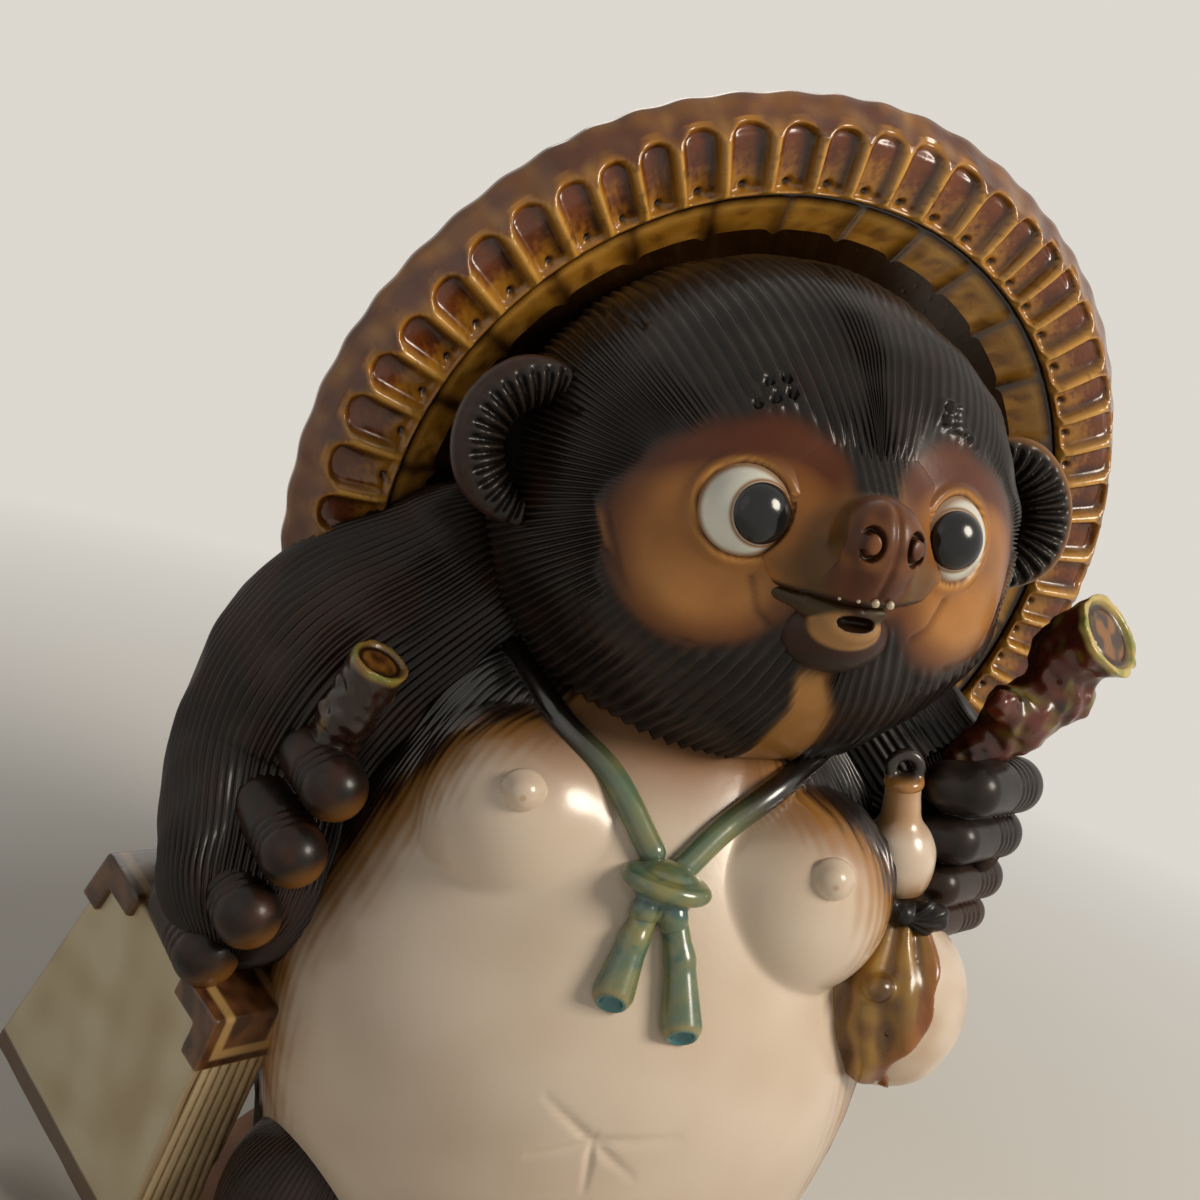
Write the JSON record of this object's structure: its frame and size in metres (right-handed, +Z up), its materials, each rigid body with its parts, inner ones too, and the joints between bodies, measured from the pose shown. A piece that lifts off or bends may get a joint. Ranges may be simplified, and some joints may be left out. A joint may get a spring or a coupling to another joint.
{
  "type": "tanuki statue",
  "caption": "Glazed stoneware folk figure of a standing tanuki with a hat slung behind its head, a ledger and a gourd flask; free-standing ornament.",
  "frame": {"origin": "on the underside of the base slab, below the body", "axes": "+Z up; the statue's body faces -Y; its own right hand is towards -X"},
  "size_m": [0.4001, 0.3007, 0.4976],
  "materials": {
    "dark_glaze": "satin gloss, near black, breaking to brown on edges",
    "cream_glaze": "gloss, warm white",
    "amber_glaze": "gloss, honey, pooling dark in the recesses",
    "face_glaze": "satin, brown, sprayed",
    "green_glaze": "gloss, celadon",
    "eye_white": "gloss",
    "eye_black": "high gloss",
    "branch_glaze": "gloss, red-brown",
    "ledger_glaze": "satin, cream with a brown border",
    "bare_clay": "unglazed stoneware"
  },
  "bodies": {
    "root": {"base_slab": "bare_clay", "body_front_shell": "cream_glaze", "body_back_shell": "dark_glaze", "right_leg": "dark_glaze", "left_leg": "dark_glaze", "right_foot": "dark_glaze", "left_foot": "dark_glaze", "money_sack": "cream_glaze", "tail": "dark_glaze", "right_arm": "dark_glaze", "right_fingers": "dark_glaze", "left_arm": "dark_glaze", "left_fingers": "dark_glaze", "right_nipple": "cream_glaze", "left_nipple": "cream_glaze", "head_shell": "dark_glaze", "forelock": "dark_glaze", "right_ear": "dark_glaze", "left_ear": "dark_glaze", "right_eyeball": "eye_white", "left_eyeball": "eye_white", "right_pupil": "eye_black", "left_pupil": "eye_black", "snout": "face_glaze", "nose": "face_glaze", "lower_jaw": "face_glaze", "teeth": "eye_white", "hat_rim": "amber_glaze", "hat_disc": "amber_glaze", "hat_crown": "amber_glaze", "cord_right_strand": "green_glaze", "cord_left_strand": "green_glaze", "cord_knot": "green_glaze", "cord_right_tail": "green_glaze", "cord_left_tail": "green_glaze", "ledger_pages": "ledger_glaze", "ledger_cover": "ledger_glaze", "ledger_corner_caps": "branch_glaze", "gourd_flask": "cream_glaze", "gourd_stopper": "amber_glaze", "gourd_waist_cord": "dark_glaze", "gourd_leaf": "amber_glaze", "right_branch": "branch_glaze", "left_branch": "branch_glaze"}
  },
  "joints": []
}
